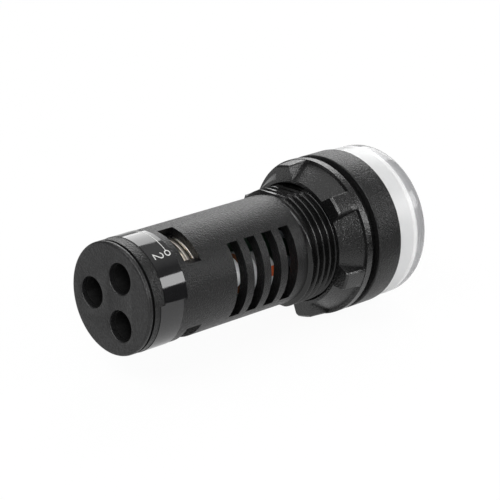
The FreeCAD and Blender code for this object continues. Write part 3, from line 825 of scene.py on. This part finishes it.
# %% Print the circle, its line and the number
degree = label_r * math.pi / 180
circle_angle, circle_y, circle_r = 37.5, 43.5, 0.50
line_start_angle, line_width, mark_width = -60.0, 0.13, 0.20
number_angle, number_y, number_size = 38.0, 45.55, 1.2
bowl_r, bowl_y, foot_y, foot_start, foot_end = 0.42, 0.38, -0.78, -0.44, 0.46


def figure_two():
    """The figure 2: an arc over the top, a slant to the foot and a straight base.
    Across grows with the angle, and up points towards the bezel."""
    bend = np.radians(np.linspace(165, -35, 24))
    arc = np.stack([bowl_r * np.cos(bend), bowl_y + bowl_r * np.sin(bend)], -1)
    slant = np.linspace(arc[-1], (foot_start, foot_y), 12)[1:]
    base = np.linspace((foot_start, foot_y), (foot_end, foot_y), 8)[1:]
    return np.concatenate([arc, slant, base]) * number_size


sweep = np.linspace(0, 2 * np.pi, 48, endpoint=False)
printed("label_circle", circle_angle * degree + circle_r * np.cos(sweep),
        circle_y + circle_r * np.sin(sweep), mark_width, closed=True)
line_end_angle = circle_angle - (circle_r + mark_width / 2) / degree
line_run = np.linspace(line_start_angle, line_end_angle, 80) * degree
printed("label_line", line_run, np.full_like(line_run, circle_y), line_width)
figure = figure_two()
printed("label_number", number_angle * degree + figure[:, 0], number_y - figure[:, 1], mark_width)

# %% [markdown]
# ## Rounded edges on the parts that stay as they are
# Stamped and moulded parts have no knife edges: a tiny radius catches the light and draws each
# outline. The CAD shapes of the cover, the block and the terminals are right, so each gets a copy
# whose loose triangles are joined into clean faces, and a Bevel modifier rounds its edges.

# %% Ease the edges of a copy
copy_weld, same_plane = 0.002 * mm, math.radians(0.5)


def eased(node_name, body, material, width):
    """Copies a node's mesh, welds it, joins triangles that lie in one plane and bevels the rest."""
    work = bmesh.new()
    work.from_mesh(nodes[node_name].data)
    bmesh.ops.remove_doubles(work, verts=work.verts, dist=copy_weld)
    bmesh.ops.dissolve_limit(work, angle_limit=same_plane, verts=work.verts, edges=work.edges)
    mesh = bpy.data.meshes.new(node_name + "_eased")
    work.to_mesh(mesh)
    work.free()
    mesh.shade_smooth()
    ride_in_place(node_name + "_eased", mesh, body, material, [node_name], width)
    print("%-24s %5d faces" % (node_name + "_eased", len(mesh.polygons)))


eased("rear_cover", "lamp", cover_plastic, 0.17)
eased("terminal_block", "lamp", block_plastic, 0.06)
for number in range(1, terminal_count + 1):
    eased("terminal_plate_%d" % number, "lamp", plate_metal, 0.10)
    eased("clamp_plate_%d" % number, "clamp_%d" % number, clamp_metal, 0.05)
    eased("terminal_screw_%d" % number, "screw_%d" % number, screw_metal, 0.06)

# %% [markdown]
# ## The studio
# The photograph is a product shot on white. The floor here is pale, and to the camera and through
# the lens it also glows up to white, with a share of plain paint that keeps the soft shadow. A
# glossy black thing shows little but its surroundings, so those are arranged too: dark cards stand
# on two sides, out of the picture, and draw the black bands on the label and in the thread.

# %% Helpers for the studio
def flat_sheet(name, half, z):
    """A flat square: two parameters, one along X and one along Y, at a fixed height."""
    corners = [(x, y, z) for x in (-half, half) for y in (-half, half)]
    mesh = bpy.data.meshes.new(name)
    mesh.from_pydata(corners, [], [(0, 2, 3, 1)])
    made = bpy.data.objects.new(name, mesh)
    bpy.context.scene.collection.objects.link(made)
    return made


def beyond(tree, place, toward, edge):
    """0 before a card's edge and 1 behind it. The edge is soft: it has a near and a far value,
    measured along a direction from the origin."""
    along = add_node(tree, "ShaderNodeVectorMath", {0: place, 1: toward}, operation="DOT_PRODUCT")
    return spread(tree, along.outputs["Value"], 0.0, 1.0, *edge)


def seen_directly(tree, rays):
    """1 for rays from the camera and for those that came through the lens."""
    return calculate(tree, "MAXIMUM", rays["Is Camera Ray"], rays["Is Transmission Ray"])


def mix_shaders(tree, share, first, second):
    """One shader where the share is 0 and the other where it is 1."""
    inputs = {0: share, 1: first.outputs[0], 2: second.outputs[0]}
    return add_node(tree, "ShaderNodeMixShader", inputs)


white, card_black = (1, 1, 1, 1), (0.02, 0.02, 0.02, 1)
dark_side, camera_side = (-0.74, -0.67, 0.0), (0.0, 1.0, 0.0)
print("dark cards towards", dark_side, "and", camera_side)

# %% Lay the floor
floor_gap, floor_reach = 0.00005, 3.0
floor_z = cad_box[0][2] - floor_gap
floor_card_edge = (0.045, 0.050)


def floor_finish(mirrored, glow_share=0.95):
    """Pale paint, mixed with a glow that is white where the floor is seen directly. In mirrored
    rays it has the strength mirrored, and gives way to black behind the edge of the dark card."""
    material = bpy.data.materials.new("floor_paint")
    material.use_nodes = True
    tree = material.node_tree
    tree.nodes.clear()
    rays = add_node(tree, "ShaderNodeLightPath").outputs
    place = add_node(tree, "ShaderNodeTexCoord").outputs["Object"]
    seen, glossy = seen_directly(tree, rays), rays["Is Glossy Ray"]
    speckle = tint(tree, grain(tree, 0.02, 3.0), (0.86, 0.86, 0.86), (0.88, 0.88, 0.88))
    pale_paint = add_node(tree, "ShaderNodeBsdfDiffuse", {"Color": speckle})
    strength = calculate(tree, "MAXIMUM", seen, calculate(tree, "MULTIPLY", glossy, mirrored))
    glow = add_node(tree, "ShaderNodeEmission", {"Color": white, "Strength": strength})
    share = calculate(tree, "MULTIPLY", calculate(tree, "MAXIMUM", seen, glossy), glow_share)
    card = add_node(tree, "ShaderNodeEmission", {"Color": card_black, "Strength": 1.0})
    carded = calculate(tree, "MULTIPLY", beyond(tree, place, dark_side, floor_card_edge), glossy)
    lit = mix_shaders(tree, share, pale_paint, glow)
    surface = mix_shaders(tree, carded, lit, card)
    add_node(tree, "ShaderNodeOutputMaterial", {"Surface": surface.outputs[0]})
    return material


floor = flat_sheet("floor", floor_reach, floor_z)
floor.data.materials.append(floor_finish(mirrored=0.80))
print("floor at z", round(floor_z / mm, 2), "mm")

# %% Fill the room with light
room_levels = [(0.0, 0.5), (0.12, 0.5), (0.25, 0.12), (0.60, 0.12), (0.90, 0.8)]
dark_card_top, dark_card_edge = (0.20, 0.17), (0.78, 0.86)
camera_card_top, camera_card_edge = (0.45, 0.35), (0.55, 0.75)


def standing_card(tree, place, height, top, toward, edge):
    """1 where a dark card stands: below its top and behind its edge, both soft."""
    low = spread(tree, height, 0.0, 1.0, *top)
    return calculate(tree, "MULTIPLY", low, beyond(tree, place, toward, edge))


def fill_world():
    """White for the camera and through the lens. For light and reflections the room's levels by
    height, from the horizon at 0 to straight up at 1: a pale horizon, a dim wall above it and a
    bright ceiling, with dark cards on the dark side and behind the camera."""
    world = bpy.data.worlds.new("studio")
    bpy.context.scene.world = world
    world.use_nodes = True
    tree = world.node_tree
    tree.nodes.clear()
    place = add_node(tree, "ShaderNodeTexCoord").outputs["Generated"]
    height = add_node(tree, "ShaderNodeSeparateXYZ", {0: place}).outputs["Z"]
    room = add_node(tree, "ShaderNodeValToRGB", {"Fac": height})
    for position, level in room_levels[1:-1]:
        room.color_ramp.elements.new(position)
    for stop, (position, level) in zip(room.color_ramp.elements, room_levels):
        stop.position = position
        stop.color = (level, level, level, 1)
    carded = calculate(
        tree, "MAXIMUM",
        standing_card(tree, place, height, dark_card_top, dark_side, dark_card_edge),
        standing_card(tree, place, height, camera_card_top, camera_side, camera_card_edge))
    seen = seen_directly(tree, add_node(tree, "ShaderNodeLightPath").outputs)
    backgrounds = [add_node(tree, "ShaderNodeBackground", {"Color": colour, "Strength": 1.0})
                   for colour in (room.outputs["Color"], card_black, white)]
    inside = mix_shaders(tree, carded, *backgrounds[:2])
    surface = mix_shaders(tree, seen, inside, backgrounds[2])
    add_node(tree, "ShaderNodeOutputWorld", {"Surface": surface.outputs[0]})


fill_world()
print("room levels by height", room_levels)

# %% Hang the lamps
lamp_target = Vector((0, 0.025, 0))


def softbox(name, toward, distance, width, height, radiance):
    """A rectangular lamp at a distance from the target in the direction toward, facing it.
    Its radiance is what a mirror would show, so its power is radiance times area times pi."""
    direction = Vector(toward).normalized()
    lamp = bpy.data.lights.new(name, "AREA")
    lamp.shape = "RECTANGLE"
    lamp.size = width
    lamp.size_y = height
    lamp.energy = radiance * width * height * math.pi
    made = bpy.data.objects.new(name, lamp)
    bpy.context.scene.collection.objects.link(made)
    facing = direction.to_track_quat("Z", "Y").to_matrix().to_4x4()
    made.matrix_world = Matrix.Translation(lamp_target + direction * distance) @ facing


# Each row is a name, a direction, then the distance, width and height in metres, and the radiance.
softboxes = [
    ("top_softbox", (0.55, -0.67, 0.50), 0.8, 0.54, 0.50, 3.25),
    ("side_strip", (-0.68, -0.66, 0.345), 0.7, 0.5, 0.19, 5.4),
    ("camera_fill", (-0.68, 0.60, 0.40), 0.8, 0.3, 0.3, 12.0),
    ("edge_softbox", (-0.04, 0.64, 0.77), 0.8, 0.7, 0.38, 3.6),
]
for settings in softboxes:
    softbox(*settings)

# %% [markdown]
# ## The camera
# Its place, aim and focal length were worked out from the outlines in the photograph: a long lens,
# a little above the light and behind its terminals. There is no shift and no depth of field.

# %% Place the camera
camera_place = (-0.2603, 0.2690, 0.1250)
camera_right = (-0.6936, -0.7204, 0.0)
camera_up = (0.2338, -0.2251, 0.9459)
camera_back = (-0.6814, 0.6560, 0.3246)
focal_pixels, frame_pixels = 2147.0, 500.0
sensor_width, nearest = 36.0, 0.01


def look_matrix(place, right, up, back):
    """The camera's own X, Y and Z axes as columns, and its place."""
    rows = [[right[i], up[i], back[i], place[i]] for i in range(3)]
    return Matrix(rows + [[0, 0, 0, 1]])


camera_data = bpy.data.cameras.new("photo_camera")
camera_data.sensor_width = sensor_width
camera_data.lens = focal_pixels / frame_pixels * sensor_width
camera_data.clip_start = nearest
camera = bpy.data.objects.new("photo_camera", camera_data)
bpy.context.scene.collection.objects.link(camera)
camera.matrix_world = look_matrix(camera_place, camera_right, camera_up, camera_back)
bpy.context.scene.camera = camera
bpy.context.scene.view_settings.view_transform = "Standard"
print("lens", round(camera_data.lens, 1), "mm")
